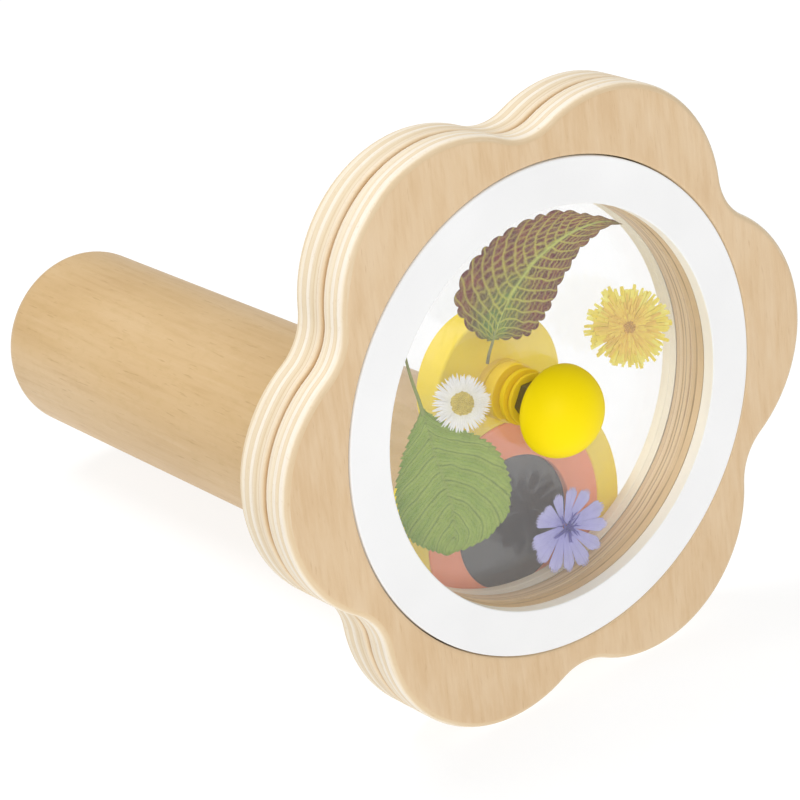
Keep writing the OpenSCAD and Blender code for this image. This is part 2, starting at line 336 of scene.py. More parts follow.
def tube_wood(name, tones, rings=False):
    """Turned pale wood with its grain along Y."""
    m = Mat(name)
    fine = m.noise(m.coords((620, 34, 620)), 1.0, 5.0, 0.62, 0.1)
    wide = m.noise(m.coords((75, 9, 75), (0, 0, 0), (4, 2, 7)), 1.0, 4.0, 0.55, 0.5)
    slow = m.noise(m.coords((17, 9, 17), (0, 0, 0), (1, 5, 2)), 1.0, 2.0, 0.5)
    dark, mid, light = tones
    base = m.ramp(slow, [(0.30, rgba(*dark)), (0.52, rgba(*mid)), (0.76, rgba(*light))])
    base = m.mix(m.grey(wide, 0.0, 0.50, 0.45, 0.72), base, rgba(*light))
    base = m.mix(m.grey(wide, 0.55, 0.0, 0.28, 0.46), base, rgba(*dark))
    base = m.mix(m.grey(fine, 0.0, 0.34, 0.52, 0.76), base, rgba(dark[0] - 16, dark[1] - 20, dark[2] - 22))
    base = m.mix(m.grey(fine, 0.26, 0.0, 0.26, 0.45), base, rgba(light[0] + 8, light[1] + 10, light[2] + 12))
    mott = m.noise(m.coords((520, 260, 520), (0, 0, 0), (3, 9, 4)), 1.0, 3.0, 0.6)
    base = m.mix(m.grey(mott, 0.0, 0.22, 0.50, 0.74), base, rgba(dark[0] - 8, dark[1] - 6, dark[2] - 14))
    pore = m.noise(m.coords((1500, 150, 1500), (0, 0, 0), (6, 1, 1)), 1.0, 2.0, 0.5)
    base = m.mix(m.grey(pore, 0.0, 0.30, 0.64, 0.74), base, rgba(dark[0] - 40, dark[1] - 48, dark[2] - 54))
    nrm = m.bump(fine, 0.16, 0.0004)
    nrm = m.bump(pore, 0.10, 0.0003, nrm)
    m.principled(base, m.grey(fine, 0.38, 0.54), nrm, Specular_IOR_Level=0.38, Coat_Weight=0.08, Coat_Roughness=0.3)
    return m.m


def paint(name, c, rough=0.38, var=8, coat=0.15, peel=0.0002, spec=0.4):
    """Sprayed paint or lacquer: faint orange peel, slow tone drift and fine specks."""
    m = Mat(name)
    slow = m.noise(m.coords((38, 38, 38)), 1.0, 2.0, 0.5)
    peel_n = m.noise(m.coords((420, 420, 420), (0, 0, 0), (3, 3, 3)), 1.0, 3.0, 0.5)
    speck = m.noise(m.coords((1900, 1900, 1900), (0, 0, 0), (1, 2, 3)), 1.0, 2.0, 0.5)
    lo = tuple(max(0, v - var) for v in c)
    hi = tuple(min(255, v + var) for v in c)
    base = m.ramp(slow, [(0.3, rgba(*lo)), (0.7, rgba(*hi))])
    base = m.mix(m.grey(speck, 0.0, 0.10, 0.62, 0.75), base, rgba(*(max(0, v - 30) for v in c)))
    nrm = m.bump(peel_n, 0.10, peel)
    m.principled(base, m.grey(peel_n, rough - 0.05, rough + 0.06), nrm, Specular_IOR_Level=spec, Coat_Weight=coat, Coat_Roughness=0.25)
    return m.m


def metal(name, c, rough, brushed=(900, 900, 900)):
    m = Mat(name)
    f = m.noise(m.coords(brushed), 1.0, 4.0, 0.6)
    s = m.noise(m.coords((120, 120, 120), (0, 0, 0), (2, 2, 2)), 1.0, 2.0, 0.5)
    base = m.mix(m.grey(s, 0.0, 0.4, 0.35, 0.7), rgba(*c), rgba(*(max(0, v - 35) for v in c)))
    m.principled(base, m.grey(f, rough - 0.08, rough + 0.12), m.bump(f, 0.15, 0.0001), Metallic=1.0)
    return m.m


def clear(name, ior, tint, haze=0.0):
    """Polished clear sheet: light goes straight through, and each face mirrors what Fresnel says, from either side."""
    m = Mat(name)
    geo = m.n("ShaderNodeNewGeometry")
    fr = m.n("ShaderNodeFresnel")
    m.link(m.math("MULTIPLY_ADD", geo.outputs["Backfacing"], 1.0 / ior - ior, ior), fr.inputs["IOR"])
    tr = m.n("ShaderNodeBsdfTransparent")
    dust = m.noise(m.coords((260, 260, 260)), 1.0, 3.0, 0.6)
    col = m.ramp(dust, [(0.3, (tint[0] * 0.985, tint[1] * 0.985, tint[2] * 0.985, 1)), (0.7, (*tint, 1))])
    m.link(col, tr.inputs["Color"])
    gl = m.n("ShaderNodeBsdfGlossy")
    gl.inputs["Color"].default_value = (1, 1, 1, 1)
    gl.inputs["Roughness"].default_value = 0.03
    mx = m.n("ShaderNodeMixShader")
    m.link(fr.outputs[0], mx.inputs[0])
    m.link(tr.outputs[0], mx.inputs[1])
    m.link(gl.outputs[0], mx.inputs[2])
    di = m.n("ShaderNodeBsdfDiffuse")
    di.inputs["Color"].default_value = (0.98, 0.98, 0.98, 1)
    hz = m.n("ShaderNodeMixShader")
    m.link(m.grey(dust, haze * 0.8, haze * 1.2, 0.3, 0.7), hz.inputs[0])
    m.link(mx.outputs[0], hz.inputs[1])
    m.link(di.outputs[0], hz.inputs[2])
    m.link(hz.outputs[0], m.out.inputs["Surface"])
    return m.m


def leafy(name, net_color, net_strength, net_scale, rough=0.6, grain=8, relief=0.00025, gloss=0.25):
    """Pressed leaf or petal: colours from the mesh, with a fine cell network and fibres on top."""
    m = Mat(name)
    at = m.n("ShaderNodeAttribute", attribute_name="tint")
    base = at.outputs["Color"]
    blotch = m.noise(m.coords((330, 330, 330)), 1.0, 3.0, 0.6)
    base = m.mix(m.grey(blotch, 0.0, 0.28, 0.35, 0.75), base, m.mix(1.0, base, (0.66, 0.66, 0.62, 1.0), "MULTIPLY"))
    height = blotch
    if net_strength:
        v = m.n("ShaderNodeTexVoronoi", feature="DISTANCE_TO_EDGE")
        m.link(m.coords((net_scale, net_scale, net_scale)), v.inputs["Vector"])
        v.inputs["Scale"].default_value = 1.0
        v.inputs["Randomness"].default_value = 0.9
        line = m.grey(v.outputs["Distance"], net_strength, 0.0, 0.02, 0.13)
        base = m.mix(line, base, rgba(*net_color))
        height = m.math("ADD", height, m.grey(v.outputs["Distance"], 0.0, 1.0, 0.0, 0.25))
    grainy = m.noise(m.coords((2300, 2300, 2300), (0, 0, 0), (2, 2, 2)), 1.0, 2.0, 0.5)
    base = m.mix(m.grey(grainy, 0.0, 0.16, 0.45, 0.72), base, m.mix(1.0, base, (0.6, 0.6, 0.6, 1.0), "MULTIPLY"))
    m.principled(base, m.grey(blotch, rough - 0.08, rough + 0.1), m.bump(height, 0.35, relief), Specular_IOR_Level=gloss)
    return m.m


# ---------------------------------------------------------------- materials
WHITISH, CREAM, PALE, PINK, BEIGE = (249, 239, 223), (245, 231, 206), (245, 234, 215), (240, 225, 202), (235, 217, 186)
face_veneer = veneer("veneer_face", (215, 184, 144), (221, 192, 153), (227, 202, 168), -(math.pi / 2 - GRAIN))
ply_edge = plies(
    "ply_edge",
    [(0.0, (224, 198, 160)), (0.5, (228, 205, 170)), (0.85, CREAM), (1.3, WHITISH), (2.1, WHITISH), (2.35, (238, 219, 186)), (3.2, (241, 223, 193)),
     (3.45, WHITISH), (4.4, PALE), (4.7, (240, 223, 192)), (5.5, CREAM), (6.3, (242, 229, 208)), (6.9, (236, 216, 184)), (7.3, (214, 184, 142)), (7.6, (184, 150, 108)),
     (7.9, (214, 184, 142)), (8.3, (236, 216, 184)), (9.0, PINK), (10.2, BEIGE), (10.5, (230, 210, 176)), (11.3, BEIGE), (11.8, PALE), (12.7, WHITISH),
     (13.1, BEIGE), (14.2, BEIGE), (14.5, PALE), (15.5, CREAM), (15.9, BEIGE), (16.9, (230, 207, 170)), (17.3, (222, 195, 156))],
    [(2.25, 0.2, (222, 196, 156), 0.55), (3.3, 0.18, (224, 198, 158), 0.5), (4.55, 0.18, (222, 195, 154), 0.55), (5.9, 0.18, (224, 198, 158), 0.4),
     (9.35, 0.2, (212, 182, 140), 0.6), (10.35, 0.2, (212, 182, 140), 0.6), (11.65, 0.2, (218, 190, 148), 0.5), (12.95, 0.2, (218, 190, 148), 0.5), (14.4, 0.2, (218, 190, 148), 0.5), (15.8, 0.2, (216, 188, 146), 0.5)],
    streak=0.85,
    shade=0.965,
)
ply_bore = plies(
    "ply_bore",
    [(0.0, (232, 208, 172)), (4.0, (230, 206, 170)), (6.2, (224, 198, 160)), (6.6, (236, 214, 180)), (7.4, (232, 208, 172)), (7.6, (226, 200, 162)), (7.9, (232, 208, 170)),
     (9.2, (234, 212, 178)), (9.6, (222, 196, 156)), (10.8, (236, 214, 182)), (12.0, (226, 200, 162)), (13.0, (238, 220, 190)), (17.3, (238, 220, 190))],
    [(5.5, 0.30, (120, 92, 62), 0.8), (6.7, 0.16, (196, 162, 120), 0.6), (7.6, 0.22, (170, 134, 96), 0.8), (8.9, 0.22, (140, 106, 74), 0.9), (9.8, 0.20, (140, 106, 74), 0.85), (11.2, 0.16, (180, 146, 106), 0.7), (12.4, 0.22, (140, 108, 76), 0.8)],
    streak=0.16,
)
tube_side = tube_wood("tube_side", ((198, 164, 115), (210, 177, 128), (220, 191, 149)))
tube_cut = tube_wood("tube_cut", ((196, 160, 112), (208, 174, 126), (218, 188, 144)))
dowel_mat = tube_wood("dowel_beech", ((196, 160, 112), (208, 174, 126), (222, 192, 148)))
white_ring = paint("white_ring", (242, 242, 242), 0.55, 3, 0.0, 0.00025, 0.25)
# inner wall of the cover ring: the same white paint made brighter and cream, as painted light standing in for warm
# light thrown back from the wood bore
ring_wall_painted_light = paint("ring_wall", (252, 247, 236), 0.55, 4, 0.0, 0.0002, 0.2)
band_tan = paint("band_tan", (226, 200, 162), 0.6, 9, 0.0, 0.0002, 0.2)
# rear ring's paint, brighter and creamier than the front ring's white: painted light standing in for warm light thrown
# back from the wood; it also colours the band in the rear disc's rim
rear_ring_painted_light = paint("rear_ring_wall_painted_light", (250, 245, 230), 0.55, 4, 0.0, 0.0002, 0.2)
yellow_knob = paint("yellow_knob", (254, 226, 0), 0.5, 3, 0.0, 0.00025, 0.12)
yellow_nylon = paint("yellow_nylon", (240, 206, 14), 0.55, 5, 0.0, 0.0002, 0.2)
yellow_plate = paint("yellow_plate", (255, 226, 4), 0.55, 5, 0.0, 0.0002, 0.15)
yellow_plug = paint("yellow_plug", (235, 203, 12), 0.45, 6, 0.1)
coral_mat = paint("coral_paint", (252, 150, 104), 0.55, 5, 0.0, 0.0002, 0.15)
black_plastic = paint("black_plastic", (58, 50, 30), 0.5, 8, 0.0)
black_foam = paint("black_foam", (38, 38, 38), 0.85, 8, 0.0, 0.0008, 0.1)
steel_mat = metal("zinc_steel", (176, 178, 182), 0.32)
brass_mat = metal("turned_brass", (206, 170, 96), 0.28)
mirror_mat = metal("mirror_strip", (232, 234, 237), 0.12)
acrylic = clear("clear_acrylic", 1.47, (0.996, 0.997, 0.997), 0.010)
acrylic_rear = clear("clear_acrylic_rear", 1.47, (0.996, 0.997, 0.997), 0.016)


# dark grey window over the tube's end: its dark tint is painted shade standing in for the dim mirror tube behind it,
# and its lighter streaks are painted faint reflections
def build_shade_window():
    m = Mat("glass_painted_shade")
    streak = m.noise(m.coords((120, 120, 26), (0.0, 0.9, 0.0)), 1.0, 3.0, 0.6, 0.3)
    tr = m.n("ShaderNodeBsdfTransparent")
    tr.inputs["Color"].default_value = (0.09, 0.09, 0.095, 1)
    p = m.n("ShaderNodeBsdfPrincipled")
    m.link(m.ramp(streak, [(0.35, rgba(58, 57, 59)), (0.62, rgba(74, 73, 76)), (0.8, rgba(92, 91, 94))]), p.inputs["Base Color"])
    m.link(m.grey(streak, 0.12, 0.2), p.inputs["Roughness"])
    mx = m.n("ShaderNodeMixShader")
    mx.inputs[0].default_value = 0.7
    m.link(tr.outputs[0], mx.inputs[1])
    m.link(p.outputs[0], mx.inputs[2])
    m.link(mx.outputs[0], m.out.inputs["Surface"])
    return m.m


shaded_glass = build_shade_window()

# ---------------------------------------------------------------- wheel plates
LOBE_R, LOBE_C, VALLEY_R = 32.0, 41.0, 13.5
LOBE_R *= (plate_hi.x - plate_lo.x) / MM / 146.0
VC = LOBE_C * math.cos(math.radians(30)) + math.sqrt((LOBE_R + VALLEY_R) ** 2 - (LOBE_C * 0.5) ** 2)
BETA = math.degrees(math.atan2(VC * 0.5, VC * math.cos(math.radians(30)) - LOBE_C))   # half the lobe's arc
GAMMA = BETA - 30                                                                        # half the valley's arc


def outline(inset, n_lobe=30, n_valley=14):
    """Points of the six-lobed outline, moved in by inset, with the same count for every inset."""
    pts = []
    for k in range(6):
        base = 60 * k
        cx, cz = LOBE_C * math.cos(math.radians(base)), LOBE_C * math.sin(math.radians(base))
        for i in range(n_lobe):
            a = math.radians(base - BETA + 2 * BETA * i / n_lobe)
            pts.append((cx + (LOBE_R - inset) * math.cos(a), cz + (LOBE_R - inset) * math.sin(a)))
        vx, vz = VC * math.cos(math.radians(base + 30)), VC * math.sin(math.radians(base + 30))
        for i in range(n_valley):
            a = math.radians(base + 30 + 180 + GAMMA - 2 * GAMMA * i / n_valley)
            pts.append((vx + (VALLEY_R + inset) * math.cos(a), vz + (VALLEY_R + inset) * math.sin(a)))
    return pts


ANGLES = [math.atan2(z, x) for x, z in outline(0)]


def out_loop(inset, y):
    return [P(x, y, z) for x, z in outline(inset)]


def circ_loop(r, y):
    return [P(r * math.cos(a), y, r * math.sin(a)) for a in ANGLES]


FACE, EDGE, BORE = 0, 1, 2


def plate(name, node, sections, body):
    loops = [s[0](s[1], s[2]) for s in sections]
    v, f, idx = loft(loops, True, [s[3] for s in sections])
    return make(name, v, f, [face_veneer, ply_edge, ply_bore], body, (node,), idx, sharp=40)


R1 = 1.7
front = [(circ_loop, 56.3, 0.35, BORE), (circ_loop, 56.42, 0.1, FACE), (circ_loop, 56.65, 0.0, FACE), (circ_loop, 57.2, 0.0, FACE), (out_loop, R1 + 0.7, 0.0, FACE)]
for i in range(9):
    a = math.radians(90 * i / 8)
    front.append((out_loop, R1 * (1 - math.sin(a)), R1 * (1 - math.cos(a)), FACE if i < 1 else EDGE))
front += [(out_loop, 0.0, y, EDGE) for y in (2.4, 3.6, 4.8, 5.8)]
for i in range(7):
    a = math.radians(90 * i / 6)
    front.append((out_loop, 0.95 * (1 - math.cos(a)), 6.35 + 0.95 * math.sin(a), EDGE))
front += [(out_loop, 1.1, 7.36, EDGE), (out_loop, 1.1, 7.59, EDGE), (circ_loop, 45.9, 7.59, EDGE), (circ_loop, 45.6, 7.35, BORE), (circ_loop, 45.6, 6.4, BORE),
          (circ_loop, 45.6, 5.7, BORE), (circ_loop, 45.8, 5.43, BORE), (circ_loop, 46.4, 5.42, BORE), (circ_loop, 56.28, 5.42, BORE), (circ_loop, 56.3, 5.0, BORE)]
front_ply = plate("front_plate_ply", "front_plate", front, "wheel")

back = [(out_loop, 1.1, 7.61, EDGE), (out_loop, 1.1, 7.84, EDGE)]
for i in range(7):
    a = math.radians(90 * i / 6)
    back.append((out_loop, 0.95 * (1 - math.sin(a)), 7.9 + 0.95 * (1 - math.cos(a)), EDGE))
back += [(out_loop, 0.0, y, EDGE) for y in (9.8, 11.2, 12.6, 14.2, 15.0)]
for i in range(9):
    a = math.radians(90 * i / 8)
    back.append((out_loop, R1 * (1 - math.cos(a)), 17.3 - R1 + R1 * math.sin(a), FACE if i == 8 else EDGE))
back += [(out_loop, R1 + 0.7, 17.3, FACE), (circ_loop, 50.9, 17.3, FACE), (circ_loop, 50.35, 17.3, BORE), (circ_loop, 50.1, 17.2, BORE), (circ_loop, 50.02, 16.95, BORE),
         (circ_loop, 50.02, 12.8, BORE), (circ_loop, 50.0, 12.58, BORE), (circ_loop, 46.2, 12.58, BORE), (circ_loop, 45.8, 12.5, BORE), (circ_loop, 45.6, 12.2, BORE),
         (circ_loop, 45.6, 10.4, BORE), (circ_loop, 45.6, 8.2, BORE), (circ_loop, 45.6, 7.85, BORE), (circ_loop, 45.9, 7.61, EDGE)]
rear_ply = plate("rear_plate_ply", "rear_plate", back, "wheel")

# ---------------------------------------------------------------- cover: ring, disc, knob
def with_band(v, f, idx, y0, y1):
    """Adds the thin bonding band that closes off a clear disc's rim where it meets the tray's wall."""
    v2, f2, idx2 = revolve([(45.64, y0), (45.64, y1), (45.84, y1), (45.84, y0)], n=160)
    k = len(v)
    f2 = [tuple(i + k for i in q) for q in f2]
    return list(v) + list(v2), list(f) + f2, [0] * len(f) + [1] * len(f2)


pr = rounded(45.62, 55.98, 0.0, 3.38, 0.32, 4)
# strips on the ring's inner wall take the brighter cream paint, which is painted light
marks = []
for i, p in enumerate(pr):
    q = pr[(i + 1) % len(pr)]
    marks.append(1 if (p[0] + q[0]) / 2 < 45.66 else 0)
v, f, idx = revolve(pr, n=192, marks=marks)
make("cover_ring_white", v, f, [white_ring, ring_wall_painted_light], "cover", ("cover_ring",), idx)

pr = [(1.7, 3.42), (1.7, 3.82), (3.3, 5.38), (6.0, 5.38), (20.0, 5.38), (40.0, 5.38), (55.6, 5.38), (55.9, 5.28), (56.0, 5.0), (56.0, 3.8), (55.9, 3.52), (55.6, 3.42), (40.0, 3.42), (20.0, 3.42), (6.0, 3.42)]
v, f, idx = revolve(pr, n=160)
v, f, idx = with_band(v, f, idx, 3.47, 5.33)
make("front_clear_pane", v, f, [acrylic, band_tan], "cover", ("front_clear_disc",), idx, sharp=25)

dome = [(10.5 * math.sin(math.radians(a)), -0.2 - 9.2 * math.cos(math.radians(a))) for a in range(90, 0, -3)]
shoulder = [(5.2 + 5.3 * math.cos(math.radians(a)), -0.2 + 3.2 * math.sin(math.radians(a))) for a in range(88, 0, -6)]
pr = [(0.0, -4.45), (2.9, -4.45), (3.0, -4.35), (3.0, 3.25), (3.1, 3.36), (5.0, 3.36), (5.2, 3.25), (5.2, 3.05)] + shoulder + dome + [(0.0, -9.4)]
v, f, idx = revolve(pr, n=112, close=False)
make("knob_yellow", v, f, [yellow_knob], "cover", ("knob",), idx, sharp=45)

# ---------------------------------------------------------------- rear disc and ring
pr = [(4.65, 12.62), (4.65, 14.58), (8.0, 14.58), (20.0, 14.58), (38.0, 14.58), (49.7, 14.58), (49.92, 14.5), (50.0, 14.3), (50.0, 12.9), (49.92, 12.7), (49.7, 12.62), (38.0, 12.62), (20.0, 12.62), (8.0, 12.62)]
v, f, idx = revolve(pr, n=160)
v, f, idx = with_band(v, f, idx, 12.67, 14.53)
# the band in the rear disc's rim takes the brighter cream rear-ring paint, which is painted light
make("rear_clear_pane", v, f, [acrylic_rear, rear_ring_painted_light], "wheel", ("rear_clear_disc",), idx, sharp=25)
# the rear ring's inner wall wears the same brighter cream paint: painted light
v, f, idx = revolve(rounded(45.6, 49.98, 14.62, 17.28, 0.3, 4), n=192)
make("rear_ring_white", v, f, [rear_ring_painted_light], "wheel", ("rear_ring",), idx)

# ---------------------------------------------------------------- tube
pr = [(18.0, 22.5), (18.15, 22.35), (22.8, 22.35), (23.0, 22.5), (23.0, 28.25), (23.05, 28.32), (23.85, 28.32), (24.0, 28.45), (24.0, 29.0)]
marks = [2] * 8 + [0] * 1
for y in (60, 100, 140, 180, 201.5):
    pr.append((24.0, float(y)))
    marks.append(0)
for a in range(0, 91, 6):
    pr.append((18.0 + 6.0 * math.cos(math.radians(a)), 203.3 + 6.0 * math.sin(math.radians(a))))
    marks.append(0 if a < 78 else 1)
pr[-1] = (18.0, 209.28)
pr[-2] = (18.35, 209.26)
pr.append((18.0, 208.9))
marks.append(2)
marks = marks[: len(pr)]
while len(marks) < len(pr):
    marks.append(2)
v, f, idx = revolve(pr, cz=TUBE_Z, n=144, marks=[min(m, 1) for m in marks])
make("tube_turned", v, f, [tube_side, tube_cut], "handle", ("tube_body",), idx, sharp=40)
v, f, idx = revolve(rounded(16.0, 24.48, 20.32, 22.28, 0.3, 3), cz=TUBE_Z, n=128)
make("coral_ring_painted", v, f, [coral_mat], "handle", ("coral_ring",), idx)
v, f, idx = revolve([(0.0, 22.32), (10.0, 22.32), (17.7, 22.32), (17.95, 22.45), (17.95, 24.1), (17.7, 24.25), (10.0, 24.25), (0.0, 24.25)], cz=TUBE_Z, n=96, close=False)
# the window's dark grey tint is painted shade for the dim mirror tube behind it
make("object_window_shade_painted", v, f, [shaded_glass], "handle", ("object_window",), idx, sharp=25)


# ---------------------------------------------------------------- CAD nodes that stay
def keep(node, mats, bevel=0.3, segs=3, angle=38):
    o = NODES[node]
    me = o.data
    if "custom_normal" in me.attributes:
        me.attributes.remove(me.attributes["custom_normal"])
    me.polygons.foreach_set("use_smooth", [True] * len(me.polygons))
    o.data.materials.clear()
    for m in mats:
        o.data.materials.append(m)
    w = o.modifiers.new("weld", "WELD")
    w.merge_threshold = 1e-6
    if bevel:
        b = o.modifiers.new("bevel", "BEVEL")
        b.width = bevel * MM
        b.segments = segs
        b.limit_method = "ANGLE"
        b.angle_limit = math.radians(angle)
        b.harden_normals = False
    n = o.modifiers.new("normals", "WEIGHTED_NORMAL")
    n.keep_sharp = False
    n.weight = 100
    return o


keep("plate_dowels", [dowel_mat], 0.25, 2)
keep("hub_sleeve", [yellow_nylon], 0.25)
keep("hub_collar", [yellow_nylon], 0.2)
keep("knob_insert", [brass_mat], 0.15, 2)
keep("knob_screw", [steel_mat], 0.12, 2)
keep("carrier_plate", [yellow_plate], 0.7, 4)
keep("mirror_left", [mirror_mat], 0.08, 2)
keep("mirror_right", [mirror_mat], 0.08, 2)
keep("mirror_base", [mirror_mat], 0.08, 2)
keep("front_packing", [black_foam], 0.3, 2)
keep("rear_packing", [black_foam], 0.3, 2)
keep("eyepiece_plug", [tube_cut], 0.6, 4)
keep("eyepiece_lens", [acrylic], 0.2, 2)
keep("axle_bolt", [steel_mat], 0.25, 2)
keep("rear_washer", [steel_mat], 0.2, 2)
keep("thrust_washer", [yellow_nylon], 0.25, 2)
keep("front_washer", [yellow_nylon], 0.2, 2)
keep("axle_nut", [black_plastic], 0.3, 3)


# ---------------------------------------------------------------- pressed plants
def spline(pts, n):
    """Catmull-Rom through pts, n points evenly spaced by length."""
    p = np.asarray(pts, float)
    q = np.vstack([2 * p[0] - p[1], p, 2 * p[-1] - p[-2]])
    out = []
    for i in range(1, len(q) - 2):
        for t in np.linspace(0, 1, 24, endpoint=False):
            out.append(0.5 * ((2 * q[i]) + (-q[i - 1] + q[i + 1]) * t + (2 * q[i - 1] - 5 * q[i] + 4 * q[i + 1] - q[i + 2]) * t * t
                              + (-q[i - 1] + 3 * q[i] - 3 * q[i + 1] + q[i + 2]) * t ** 3))
    out.append(p[-1])
    out = np.array(out)
    d = np.r_[0, np.cumsum(np.linalg.norm(np.diff(out, axis=0), axis=1))]
    s = np.linspace(0, d[-1], n)
    return np.stack([np.interp(s, d, out[:, 0]), np.interp(s, d, out[:, 1])], 1)


def shell(grid, thick, colors, wrap=False):
    """Closed thin solid from a grid of front points (rows, columns, 3 in mm) and a thickness for each point."""
    nr, nc = grid.shape[:2]
    back_pts = grid.copy()
    back_pts[..., 1] += thick
    verts = np.concatenate([grid.reshape(-1, 3), back_pts.reshape(-1, 3)])
    cols = np.concatenate([colors.reshape(-1, 3), colors.reshape(-1, 3)])
    k = nr * nc
    faces = []
    for i in range(nr - 1):
        for j in range(nc - 1):
            a, b, c, d = i * nc + j, i * nc + j + 1, (i + 1) * nc + j + 1, (i + 1) * nc + j
            faces.append((a, b, c, d))
            faces.append((k + d, k + c, k + b, k + a))
    rim = [(0, j) for j in range(nc)] + [(i, nc - 1) for i in range(1, nr)] + [(nr - 1, j) for j in range(nc - 2, -1, -1)] + [(i, 0) for i in range(nr - 2, 0, -1)]
    ids = [i * nc + j for i, j in rim]
    for a, b in zip(ids, ids[1:] + ids[:1]):
        faces.append((b, a, k + a, k + b))
    return verts, faces, cols


class Bunch:
    """Several closed shells in one mesh."""

    def __init__(self, centre=None, turn=None):
        """turn is a 2 x 2 stretch about the centre: pressed flowers are seldom round."""
        self.v, self.f, self.c, self.n = [], [], [], 0
        self.centre, self.turn = centre, turn

    def add(self, verts, faces, cols):
        if self.centre:
            verts = np.array(verts, float)
            dx, dz = verts[:, 0] - self.centre[0], verts[:, 2] - self.centre[1]
            verts[:, 0] = self.centre[0] + self.turn[0][0] * dx + self.turn[0][1] * dz
            verts[:, 2] = self.centre[1] + self.turn[1][0] * dx + self.turn[1][1] * dz
        self.v.append(verts)
        self.c.append(cols)
        self.f += [tuple(i + self.n for i in f) for f in faces]
        self.n += len(verts)

    def build(self, name, mat, body, replaces=(), weld=2e-6):
        v = np.concatenate(self.v)
        pts = [P(*p) for p in v]
        return make(name, pts, self.f, [mat], body, replaces, tint=np.concatenate(self.c), sharp=60, weld=weld)


def mixc(a, b, w):
    w = np.clip(w, 0, 1)[..., None]
    return a * (1 - w) + b * w


def stalk(bunch, pts, y, r0, r1, color, color2, n=26, sides=8):
    """Round tapered stalk along 2D points, lying at depth y."""
    line = spline(pts, n)
    tang = np.gradient(line, axis=0)
    tang /= np.linalg.norm(tang, axis=1)[:, None]
    rings, cols = [], []
    for i in range(n):
        t = i / (n - 1)
        r = r0 + (r1 - r0) * t
        yy = y + (0.12 * math.sin(5 * t) if n > 4 else 0)
        for k in range(sides):
            a = 2 * math.pi * k / sides
            side = np.array([-tang[i][1], tang[i][0]])
            p = line[i] + side * r * math.cos(a)
            rings.append((p[0], yy + r * 0.7 * math.sin(a), p[1]))
            cols.append(mixc(np.array(color), np.array(color2), np.array(t)).ravel())
    verts = [*rings]
    faces = []
    for i in range(n - 1):
        for k in range(sides):
            q = (k + 1) % sides
            faces.append((i * sides + k, i * sides + q, (i + 1) * sides + q, (i + 1) * sides + k))
    faces.append(tuple(range(sides - 1, -1, -1)))
    faces.append(tuple((n - 1) * sides + k for k in range(sides)))
    bunch.add(np.array(verts), faces, np.array(cols))


def vein_field(t, s, n, slant, width, start=0.0, curve=1.15):
    """1 on side veins, 0 between them. t along the midrib, s from it to the edge."""
    ph = (t - start - slant * np.power(s, curve)) * n
    d = np.abs(ph - np.round(ph)) / n
    ok = (ph > -0.4) & (ph < n * (1 - start) - 0.2)
    return np.where(ok, np.clip(1 - d / width, 0, 1), 0)


def noise2(x, y, seed):
    """Smooth repeatable value noise."""
    rnd = np.random.RandomState(seed).rand(64, 64)
    xi, yi = np.floor(x).astype(int), np.floor(y).astype(int)
    xf, yf = x - xi, y - yi
    xf, yf = xf * xf * (3 - 2 * xf), yf * yf * (3 - 2 * yf)
    g = lambda a, b: rnd[a % 64, b % 64]
    return (g(xi, yi) * (1 - xf) + g(xi + 1, yi) * xf) * (1 - yf) + (g(xi, yi + 1) * (1 - xf) + g(xi + 1, yi + 1) * xf) * yf


def blade(mid, left, right, nt, ns, teeth_l, teeth_r, depth, y_front, color_fn, relief_fn, round_teeth):
    """A leaf blade as a closed thin solid, with toothed edges, raised veins and a slight wave."""
    M, L, R = spline(mid, nt), spline(left, nt), spline(right, nt)
    t = np.linspace(0, 1, nt)

    def teeth(n, seed):
        rnd = np.random.RandomState(seed)
        cuts = np.linspace(0.03, 0.985, n + 1) + np.r_[0, rnd.uniform(-0.25, 0.25, n - 1) * 0.95 / n, 0]
        out = np.zeros(nt)
        for i in range(n):
            a, b = cuts[i], cuts[i + 1]
            w = (t >= a) & (t < b)
            u = (t[w] - a) / (b - a)
            h = rnd.uniform(0.75, 1.15)
            if round_teeth:
                out[w] = -h * (1 - np.power(np.sin(np.pi * np.clip(u * 0.96 + 0.02, 0, 1)), 0.45))
            else:
                out[w] = -h * (1 - np.power(u, 0.8)) * (1 - np.exp(-(1 - u) * 12) * 0.0)
        return out

    sgrid = 1 - np.power(1 - np.linspace(0, 1, ns + 1), 1.35)
    nc = 2 * ns + 1
    X, Z, S = np.zeros((nt, nc)), np.zeros((nt, nc)), np.zeros((nt, nc))
    for side, B, n, seed in ((-1, L, teeth_l, 3), (1, R, teeth_r, 8)):
        tan = np.gradient(B, axis=0)
        tan /= np.maximum(np.linalg.norm(tan, axis=1), 1e-9)[:, None]
        nor = np.stack([-tan[:, 1], tan[:, 0]], 1)
        outward = np.sign(np.sum(nor * (B - M), axis=1))
        outward[outward == 0] = 1
        nor *= outward[:, None]
        wide = np.linalg.norm(B - M, axis=1)
        Bt = B + nor * (teeth(n, seed) * depth * np.clip(wide / 3.0, 0, 1))[:, None]
        for j in range(ns + 1):
            s = sgrid[j]
            col = ns + side * j
            k = s ** 7
            edge_pt = B * (1 - k) + Bt * k
            X[:, col] = M[:, 0] + (edge_pt[:, 0] - M[:, 0]) * s
            Z[:, col] = M[:, 1] + (edge_pt[:, 1] - M[:, 1]) * s
            S[:, col] = side * s
    T = np.repeat(t[:, None], nc, 1)
    Y = y_front + relief_fn(T, S, X, Z)
    thick = 0.10 + 0.16 * (1 - np.abs(S) ** 3)
    grid = np.stack([X, Y, Z], -1)
    return shell(grid, thick, color_fn(T, S, X, Z))


L_ = lambda *c: np.array(lin(*c))

